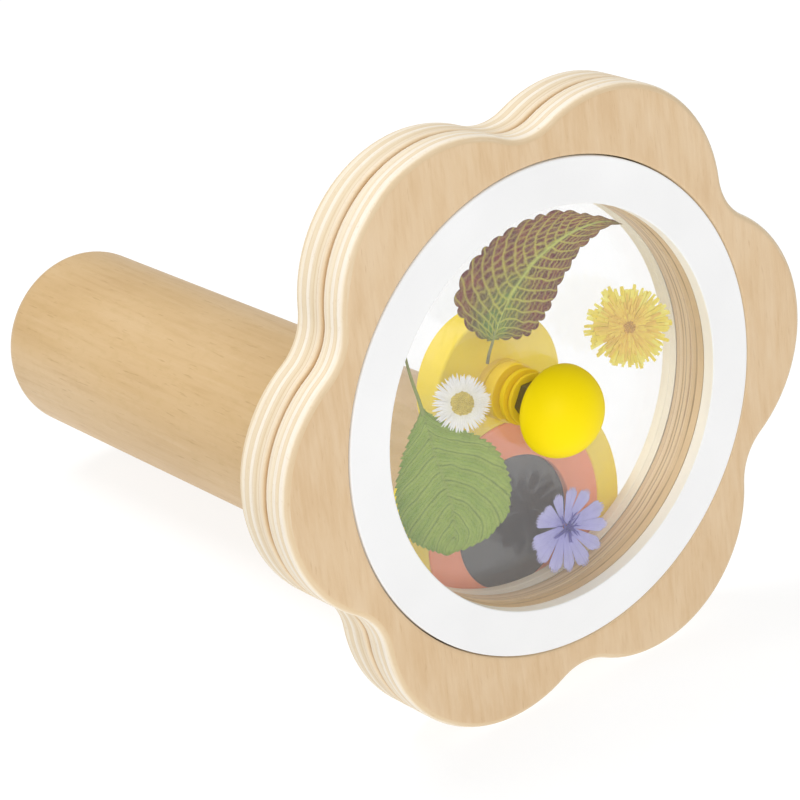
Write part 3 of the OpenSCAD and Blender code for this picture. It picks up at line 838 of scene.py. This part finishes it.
# coleus leaf
C_MID = [(-12.3, 19.7), (-10.6, 23.3), (-8.2, 26.6), (-5.3, 29.6), (-1.9, 32.1), (1.4, 34.3), (5.6, 36.1), (10.6, 37.5), (16.4, 38.0), (22.3, 37.5), (28.1, 34.8)]
C_L = [(-12.3, 19.7), (-14.7, 20.2), (-18.6, 23.7), (-21.3, 28.9), (-21.9, 32.2), (-20.6, 35.4), (-18.6, 38.2), (-15.9, 40.3), (-12.9, 41.9), (-10.6, 42.9), (-7.5, 43.7), (-3.8, 44.4), (-0.2, 44.8), (3.2, 44.9), (6.2, 44.7), (9.3, 44.4), (12.6, 43.4), (15.7, 41.9), (19.5, 40.1), (23.8, 37.9), (28.1, 34.8)]
C_R = [(-12.3, 19.7), (-8.8, 18.3), (-5.6, 17.4), (-2.0, 17.3), (1.1, 18.8), (3.2, 20.4), (5.5, 22.5), (7.2, 24.7), (8.9, 27.0), (10.9, 28.7), (12.9, 30.8), (14.8, 32.7), (17.8, 33.9), (20.3, 34.9), (22.4, 35.6), (25.0, 35.6), (28.1, 34.8)]


SL_L, SL_R = 0.30, 0.22


def coleus_color(T, S, X, Z):
    A = np.abs(S)
    red, dark = L_(128, 40, 40), L_(92, 22, 28)
    green, vein = L_(96, 138, 54), L_(214, 210, 86)
    c = mixc(np.broadcast_to(red, T.shape + (3,)), np.broadcast_to(dark, T.shape + (3,)), 0.9 * noise2(X * 0.6 + 9, Z * 0.6 + 7, 4))
    base_zone = np.clip(1.35 - T / 0.30 - 1.1 * (A - 0.35), 0, 1) * (0.55 + 0.45 * noise2(X * 1.1 + 20, Z * 1.1 + 3, 6))
    along = np.clip(1 - A / 0.16, 0, 1) * 0.5
    c = mixc(c, np.broadcast_to(green, c.shape), np.maximum(base_zone, along))
    c = mixc(c, np.broadcast_to(dark, c.shape), np.clip((A - 0.9) / 0.1, 0, 1) * 0.7)
    wob = 0.018 * (noise2(X * 0.5 + 11, Z * 0.5 + 13, 41) - 0.5)
    vl = vein_field(T + wob, A, 16, SL_L, 0.0088, -0.12, 1.15)
    vr = vein_field(T + wob, A, 16, SL_R, 0.0088, -0.10, 1.15)
    v = np.where(S < 0, vl, vr) * np.clip(1.25 - A * 0.5, 0, 1)
    # cross veins between the side veins
    ph = np.where(S < 0, T - SL_L * np.power(A, 1.15), T - SL_R * np.power(A, 1.15)) * 16
    q = A * 9.0 + 0.7 * noise2(X * 0.8 + 5, Z * 0.8 + 31, 52) + 0.5 * (ph - np.floor(ph)) + 0.37 * np.floor(ph)
    cross = np.clip(1 - np.abs(q - np.round(q)) / 0.24, 0, 1) ** 0.7 * (0.6 + 0.4 * noise2(X * 0.9 + 8, Z * 0.9 + 2, 53))
    v = np.maximum(v, 0.85 * cross * np.clip(1.3 - A, 0, 1))
    c = mixc(c, np.broadcast_to(vein, c.shape), v * 0.9)
    rib = np.clip(1 - A / (0.022 + 0.045 * T), 0, 1) ** 0.6
    return mixc(c, np.broadcast_to(L_(196, 206, 104), c.shape), rib)


def coleus_relief(T, S, X, Z):
    A = np.abs(S)
    v = np.where(S < 0, vein_field(T, A, 16, SL_L, 0.02, -0.12, 1.15), vein_field(T, A, 16, SL_R, 0.02, -0.10, 1.15))
    rib = np.clip(1 - A / 0.10, 0, 1)
    return 0.10 * v - 0.22 * rib + 0.55 * (noise2(X * 0.09 + 5, Z * 0.09 + 2, 9) - 0.5) + 0.10 * noise2(X * 0.7, Z * 0.7, 5)


leaf_red = leafy("leaf_maroon", (176, 164, 96), 0.22, 760, 0.62)
# the leaf sits a little inside the ring's edge as seen from the front left
fit = lambda pts: [(2.0 + (x - 2.0) * 0.955 + 1.4, 32.0 + (z - 32.0) * 0.94 - 1.9) for x, z in pts]
C_MID, C_L, C_R = fit(C_MID), fit(C_L), fit(C_R)
b = Bunch()
b.add(*blade(C_MID, C_L, C_R, 520, 44, 16, 14, 1.5, 6.35, coleus_color, coleus_relief, True))
stalk(b, fit([(-14.9, 14.6), (-14.1, 16.6), (-12.9, 18.8), (-11.6, 21.6), (-9.9, 24.2)]), 6.5, 0.42, 0.26, L_(120, 110, 78), L_(170, 180, 112))
b.build("coleus_pressed", leaf_red, "wheel", ("coleus_leaf",))

# green leaf
G_MID = [(-31.3, 10.6), (-30.5, 5.9), (-29.9, 1.6), (-29.2, -2.8), (-28.0, -7.5), (-26.9, -12.4), (-26.3, -17.3), (-26.6, -22.3), (-29.0, -26.0)]
G_L = [(-31.3, 10.6), (-32.2, 8.6), (-34.4, 6.1), (-36.2, 3.3), (-38.1, -0.0), (-39.4, -3.3), (-40.5, -6.1), (-40.7, -9.6), (-40.4, -12.7), (-39.5, -16.5), (-37.5, -19.9), (-34.1, -22.8), (-31.3, -24.8), (-29.3, -26.0)]
G_R = [(-31.3, 10.6), (-30.0, 8.9), (-27.1, 6.3), (-23.5, 3.1), (-19.7, 0.5), (-16.7, -1.8), (-14.0, -4.4), (-12.1, -7.0), (-10.9, -10.4), (-9.9, -13.6), (-9.8, -16.8), (-10.5, -20.0), (-11.6, -22.6), (-13.8, -24.2), (-16.3, -25.4), (-18.5, -26.3), (-21.6, -26.6), (-25.2, -26.5), (-29.3, -26.0)]


def green_color(T, S, X, Z):
    A = np.abs(S)
    base, deep, fresh = L_(148, 172, 72), L_(118, 148, 58), L_(166, 186, 86)
    c = mixc(np.broadcast_to(base, T.shape + (3,)), np.broadcast_to(fresh, T.shape + (3,)), noise2(X * 0.30 + 9, Z * 0.30 + 7, 14))
    c = mixc(c, np.broadcast_to(deep, c.shape), np.where(S < 0, np.clip((A - 0.45) / 0.5, 0, 1) * 0.8, np.clip((A - 0.9) / 0.1, 0, 1) * 0.4))
    c = mixc(c, np.broadcast_to(deep, c.shape), 0.4 * noise2(X * 1.3 + 2, Z * 1.3 + 4, 15))
    wob = 0.02 * (noise2(X * 0.4 + 3, Z * 0.4 + 6, 61) - 0.5)
    v = np.where(S < 0, vein_field(T + wob, A, 9, 0.16, 0.010, 0.0), vein_field(T + wob, A, 9, 0.24, 0.010, -0.05))
    broad = np.where(S < 0, vein_field(T + wob, A, 9, 0.16, 0.045, 0.0), vein_field(T + wob, A, 9, 0.24, 0.045, -0.05))
    f = np.where(S < 0, vein_field(T + wob, A, 36, 0.16, 0.006, 0.0), vein_field(T + wob, A, 36, 0.24, 0.006, -0.05))
    c = mixc(c, np.broadcast_to(L_(176, 190, 100), c.shape), broad * 0.5)
    c = mixc(c, np.broadcast_to(L_(98, 124, 48), c.shape), np.maximum(v * 0.85, f * 0.42))
    edge = np.clip(1 - A / 0.05, 0, 1)
    c = mixc(c, np.broadcast_to(L_(110, 134, 56), c.shape), edge * 0.5)
    rib = np.clip(1 - A / 0.014, 0, 1)
    return mixc(c, np.broadcast_to(L_(168, 180, 96), c.shape), rib * 0.5)


def green_relief(T, S, X, Z):
    A = np.abs(S)
    v = np.where(S < 0, vein_field(T, A, 9, 0.16, 0.05, 0.0), vein_field(T, A, 9, 0.24, 0.05, -0.05))
    return 0.34 * v - 0.12 * np.clip(1 - A / 0.07, 0, 1) + 0.7 * (noise2(X * 0.07 + 3, Z * 0.07 + 8, 19) - 0.5) + 0.06 * noise2(X * 0.8, Z * 0.8, 25)


leaf_green = leafy("leaf_green", (126, 148, 80), 0.16, 900, 0.6)
b = Bunch()
b.add(*blade(G_MID, G_L, G_R, 420, 34, 26, 30, 0.75, 6.75, green_color, green_relief, False))
stalk(b, [(-33.7, 24.2), (-33.3, 20.6), (-32.6, 16.4), (-31.7, 12.2), (-31.0, 8.2)], 6.75, 0.30, 0.50, L_(128, 132, 70), L_(150, 162, 92))
b.build("green_leaf_pressed", leaf_green, "wheel", ("green_leaf",))


def strap(bunch, cx, cz, ang, r0, r1, w, y, thick, col_in, col_out, bend=0.0, tip="round", n=9, cup=0.0, lift=0.0):
    """One strap petal as a closed solid, from radius r0 to r1 of half width w."""
    u = np.linspace(0, 1, n)
    if tip == "round":
        half = w * np.power(np.clip(np.sin(np.pi * np.clip(0.16 + 0.84 * u, 0, 1)), 0, 1), 0.45)
        half[-1] = w * 0.12
    else:
        half = w * (0.55 + 0.45 * u)
        half[-1] = w * 0.85
    a = ang + bend * u
    rr = r0 + (r1 - r0) * u
    cols = 5
    grid = np.zeros((n, cols, 3))
    colr = np.zeros((n, cols, 3))
    for j in range(cols):
        q = -1 + 2 * j / (cols - 1)
        ext = rr.copy()
        if tip == "toothed":
            ext[-1] += (0.32 if j % 2 == 0 else -0.18) * w
        dx, dz = np.cos(a), np.sin(a)
        grid[:, j, 0] = cx + dx * ext - dz * half * q
        grid[:, j, 2] = cz + dz * ext + dx * half * q
        grid[:, j, 1] = y + cup * (q * q) + lift * u + 0.05 * np.sin(3 * u + ang * 5)
        shade = 1 - 0.10 * (1 - abs(q)) * (j == 2)
        colr[:, j] = mixc(np.broadcast_to(np.array(col_in), (n, 3)), np.broadcast_to(np.array(col_out), (n, 3)), u ** 0.7) * shade
    bunch.add(*shell(grid, np.full((n, cols), thick), colr))


def button(bunch, cx, cz, r, y, h, n_bumps, col_a, col_b, seed):
    """A domed flower centre made of many small florets on a spiral."""
    rnd = random.Random(seed)
    k = 40
    rows = []
    cols = []
    for i in range(9):
        rho = r * (i / 8.0)
        for j in range(k):
            a = 2 * math.pi * j / k
            rows.append((cx + rho * math.cos(a), y - h * math.sqrt(max(0, 1 - (i / 8.0) ** 2)) * 0.7, cz + rho * math.sin(a)))
            cols.append(mixc(np.array(col_a), np.array(col_b), np.array(rnd.random() * 0.5)))
    grid = np.array(rows).reshape(9, k, 3)
    grid = np.concatenate([grid, grid[:, :1]], 1)
    colr = np.array(cols).reshape(9, k, 3)
    colr = np.concatenate([colr, colr[:, :1]], 1)
    back_y = y + 0.15
    bunch.add(*shell(grid, back_y - grid[..., 1], colr))
    for i in range(n_bumps):
        rho = r * 0.97 * math.sqrt((i + 0.5) / n_bumps)
        a = i * 2.399963
        br = r * 0.9 / math.sqrt(n_bumps) * rnd.uniform(0.75, 1.05)
        yy = y - h * math.sqrt(max(0, 1 - (rho / r) ** 2)) * 0.7
        bx, bz = cx + rho * math.cos(a), cz + rho * math.sin(a)
        g, c = [], []
        tone = mixc(np.array(col_a), np.array(col_b), np.array(rnd.random()))
        for lat in range(5):
            th = math.pi / 2 * lat / 4
            for lon in range(7):
                ph = 2 * math.pi * lon / 6
                g.append((bx + br * math.sin(th) * math.cos(ph), yy - br * 0.8 * math.cos(th) + 0.02, bz + br * math.sin(th) * math.sin(ph)))
                # each floret is painted up to 25% darker from its top down to its base: painted shade between the
                # florets
                c.append(tone * (1.0 - 0.25 * (lat / 4.0)))
        g = np.array(g).reshape(5, 7, 3)
        bunch.add(*shell(g, (yy + 0.08) - g[..., 1], np.array(c).reshape(5, 7, 3)))


petal_white = leafy("petal_white", (230, 230, 222), 0.0, 900, 0.6, relief=0.00015)
petal_yellow = leafy("petal_yellow", (214, 190, 70), 0.0, 900, 0.6, relief=0.00015)
petal_lilac = leafy("petal_lilac", (150, 142, 205), 0.0, 900, 0.6, relief=0.00015)

# daisy
DAISY_TURN = ((0.873, 0.107), (-0.3125, 0.742))
DX, DZ = -21.0, 7.5
rnd = random.Random(11)
b = Bunch((DX, DZ), DAISY_TURN)
for layer, (n, lo_r, hi_r, yy) in enumerate(((58, 8.5, 9.3, 6.15), (54, 7.7, 9.0, 5.98))):
    for i in range(n):
        a = 2 * math.pi * (i + rnd.uniform(-0.22, 0.22) + 0.5 * layer) / n
        strap(b, DX, DZ, a, 2.2, rnd.uniform(lo_r, hi_r), rnd.uniform(0.29, 0.38), yy + rnd.uniform(-0.06, 0.06), 0.07,
              L_(232, 228, 206), L_(253, 252, 253), rnd.uniform(-0.05, 0.05), "round", 8)
button(b, DX, DZ, 3.6, 5.98, 0.40, 110, L_(232, 212, 110), L_(208, 184, 84), 5)
b.build("daisy_pressed", petal_white, "wheel", ("daisy",))

# dandelion
DANDELION_TURN = ((1.030, 0.101), (-0.350, 0.834))
NX, NZ = 26.9, 8.9
b = Bunch((NX, NZ), DANDELION_TURN)
for layer, (n, lo_r, hi_r, yy, wd) in enumerate(((84, 9.8, 12.3, 6.36, 0.46), (72, 8.6, 11.6, 6.20, 0.44), (60, 6.6, 10.0, 6.06, 0.40), (54, 4.6, 7.6, 5.94, 0.32), (40, 2.4, 5.0, 5.84, 0.26))):
    for i in range(n):
        a = 2 * math.pi * (i + 0.37 * layer + rnd.uniform(-0.30, 0.30)) / n
        g = rnd.random()
        inner = L_(228, 180, 84) if layer > 1 else L_(226, 192, 60)
        outer = mixc(L_(244, 220, 66), L_(255, 246, 132), np.array(g)) if layer < 2 else mixc(L_(238, 196, 88), L_(252, 228, 102), np.array(g))
        strap(b, NX, NZ, a, 0.8, rnd.uniform(lo_r, hi_r), wd * rnd.uniform(0.75, 1.2), yy + rnd.uniform(-0.05, 0.05), 0.07,
              inner, outer, rnd.uniform(-0.08, 0.08), "toothed", 9)
button(b, NX, NZ, 1.7, 5.84, 0.14, 34, L_(228, 184, 96), L_(206, 152, 74), 8)
b.build("dandelion_pressed", petal_yellow, "wheel", ("dandelion",))

# chicory: broad petals with five-toothed ends
HX, HZ = 2.9, -31.0
TIPS = [(-5.0, -26.2, 2.6), (-2.2, -24.4, 1.9), (1.8, -22.6, 1.9), (6.6, -22.4, 2.2), (11.2, -25.0, 2.5), (15.2, -30.6, 2.9), (15.4, -35.4, 2.2), (12.6, -40.2, 2.3), (8.2, -43.2, 2.6), (3.0, -42.8, 2.1), (-1.6, -41.4, 2.7), (-5.6, -37.2, 2.9), (-7.1, -32.6, 2.7)]
b = Bunch()
rnd = random.Random(21)
for i, (tx, tz, w) in enumerate(TIPS):
    ang = math.atan2(tz - HZ, tx - HX)
    length = math.hypot(tx - HX, tz - HZ)
    nr, nc = 20, 15
    u = np.linspace(0, 1, nr)
    q = np.linspace(-1, 1, nc)
    U, Q = np.meshgrid(u, q, indexing="ij")
    half = w * 0.72 * (0.16 + 0.84 * np.power(np.clip(U / 0.78, 0, 1), 0.85)) * (1 - 0.22 * np.clip((U - 0.82) / 0.18, 0, 1) ** 1.5)
    teeth_wave = 0.5 - 0.5 * np.cos(Q * math.pi * 5)
    crown = 0.55 * np.sqrt(np.clip(1 - (Q * 0.92) ** 2, 0, 1)) + 0.45
    ext = 0.6 + (length - 0.6) * U * (1 - (1 - crown) * 0.35 * U ** 4) - 1.4 * (1 - teeth_wave) * np.clip((U - 0.86) / 0.14, 0, 1) * min(1, w / 2.4)
    gx = HX + np.cos(ang) * ext - np.sin(ang) * half * Q
    gz = HZ + np.sin(ang) * ext + np.cos(ang) * half * Q
    rr = np.hypot(gx, gz)
    sc = np.where(rr > 45.2, 45.2 / rr, 1.0)
    gx, gz = gx * sc, gz * sc
    gy = 6.05 + 0.09 * (i % 3) + 0.10 * np.sin(U * 3 + i) + 0.10 * Q ** 2 + 0.03 * np.cos(Q * 14)
    lines = 0.5 + 0.5 * np.cos(Q * math.pi * 6)
    c = mixc(np.broadcast_to(L_(150, 146, 208), U.shape + (3,)), np.broadcast_to(L_(190, 188, 228), U.shape + (3,)), np.clip(U * 1.2, 0, 1))
    c = mixc(c, np.broadcast_to(L_(128, 120, 196), c.shape), (lines ** 4) * 0.35)
    c = mixc(c, np.broadcast_to(L_(170, 166, 218), c.shape), 0.5 * noise2(gx * 0.9 + 40, gz * 0.9 + 60, 31))
    b.add(*shell(np.stack([gx, gy, gz], -1), np.full(U.shape, 0.08), c))
for i in range(34):
    a = rnd.uniform(0, 2 * math.pi)
    ln = rnd.uniform(1.8, 4.4)
    ox, oz = rnd.uniform(-1.0, 1.0), rnd.uniform(-1.0, 1.0)
    strap(b, HX + ox + 0.6, HZ + oz - 0.5, a, 0.1, ln, 0.11, 5.82 - 0.02 * (i % 3), 0.12, L_(70, 62, 128), L_(104, 96, 176), rnd.uniform(-0.5, 0.5), "round", 8)
b.build("chicory_pressed", petal_lilac, "wheel", ("chicory",))

# ---------------------------------------------------------------- floor, light, camera
me = bpy.data.meshes.new("floor")
s = 30.0
me.from_pydata([(-s, -s, 0), (s, -s, 0), (s, s, 0), (-s, s, 0)], [], [(0, 1, 2, 3)])
floor = bpy.data.objects.new("floor", me)
bpy.context.scene.collection.objects.link(floor)
m = Mat("floor_pale")
dn = m.noise(m.coords((3, 3, 3)), 1.0, 2.0, 0.5)
di = m.n("ShaderNodeBsdfDiffuse")
m.link(m.ramp(dn, [(0.3, (0.26, 0.26, 0.26, 1)), (0.7, (0.27, 0.27, 0.27, 1))]), di.inputs["Color"])
em = m.n("ShaderNodeEmission")
em.inputs["Color"].default_value = (1, 1, 1, 1)
em.inputs["Strength"].default_value = 0.80
ad = m.n("ShaderNodeAddShader")
m.link(di.outputs[0], ad.inputs[0])
m.link(em.outputs[0], ad.inputs[1])
m.link(ad.outputs[0], m.out.inputs["Surface"])
me.materials.append(m.m)

scene = bpy.context.scene
scene.view_settings.view_transform = "Standard"
scene.view_settings.look = "None"
# light has to cross both clear sheets twice
scene.cycles.transparent_max_bounces = 32
world = bpy.data.worlds.new("studio")
scene.world = world
world.use_nodes = True
bg = world.node_tree.nodes["Background"]
bg.inputs["Color"].default_value = (1.0, 1.0, 1.0, 1)
bg.inputs["Strength"].default_value = 0.42


def area(name, pos, target, size, energy, color=(1, 1, 1)):
    d = bpy.data.lights.new(name, "AREA")
    d.shape = "DISK"
    d.size = size
    d.energy = energy
    d.color = color
    o = bpy.data.objects.new(name, d)
    scene.collection.objects.link(o)
    o.location = pos
    o.rotation_mode = "QUATERNION"
    o.rotation_quaternion = (Vector(target) - Vector(pos)).to_track_quat("-Z", "Y")
    return o


area("front_soft", (-0.85, -1.40, 0.72), (0, -0.05, 0.07), 0.8, 11.0)
area("top_soft", (-0.30, 0.45, 1.50), (0, 0.02, 0.06), 0.9, 14.0)

cam_data = bpy.data.cameras.new("camera")
cam_data.lens = 135.0
cam_data.sensor_width = 36.0
cam_data.clip_start, cam_data.clip_end = 0.01, 50.0
cam = bpy.data.objects.new("camera", cam_data)
scene.collection.objects.link(cam)
right = Vector((0.7878969, -0.6039629, -0.1201968))
up = Vector((0.3266073, 0.2443699, 0.9130230))
fwd = Vector((0.5220596, 0.7586251, -0.3897971))
cam.matrix_world = Matrix(((right.x, up.x, -fwd.x, -0.365953), (right.y, up.y, -fwd.y, -0.572149), (right.z, up.z, -fwd.z, 0.327220), (0, 0, 0, 1)))
scene.camera = cam
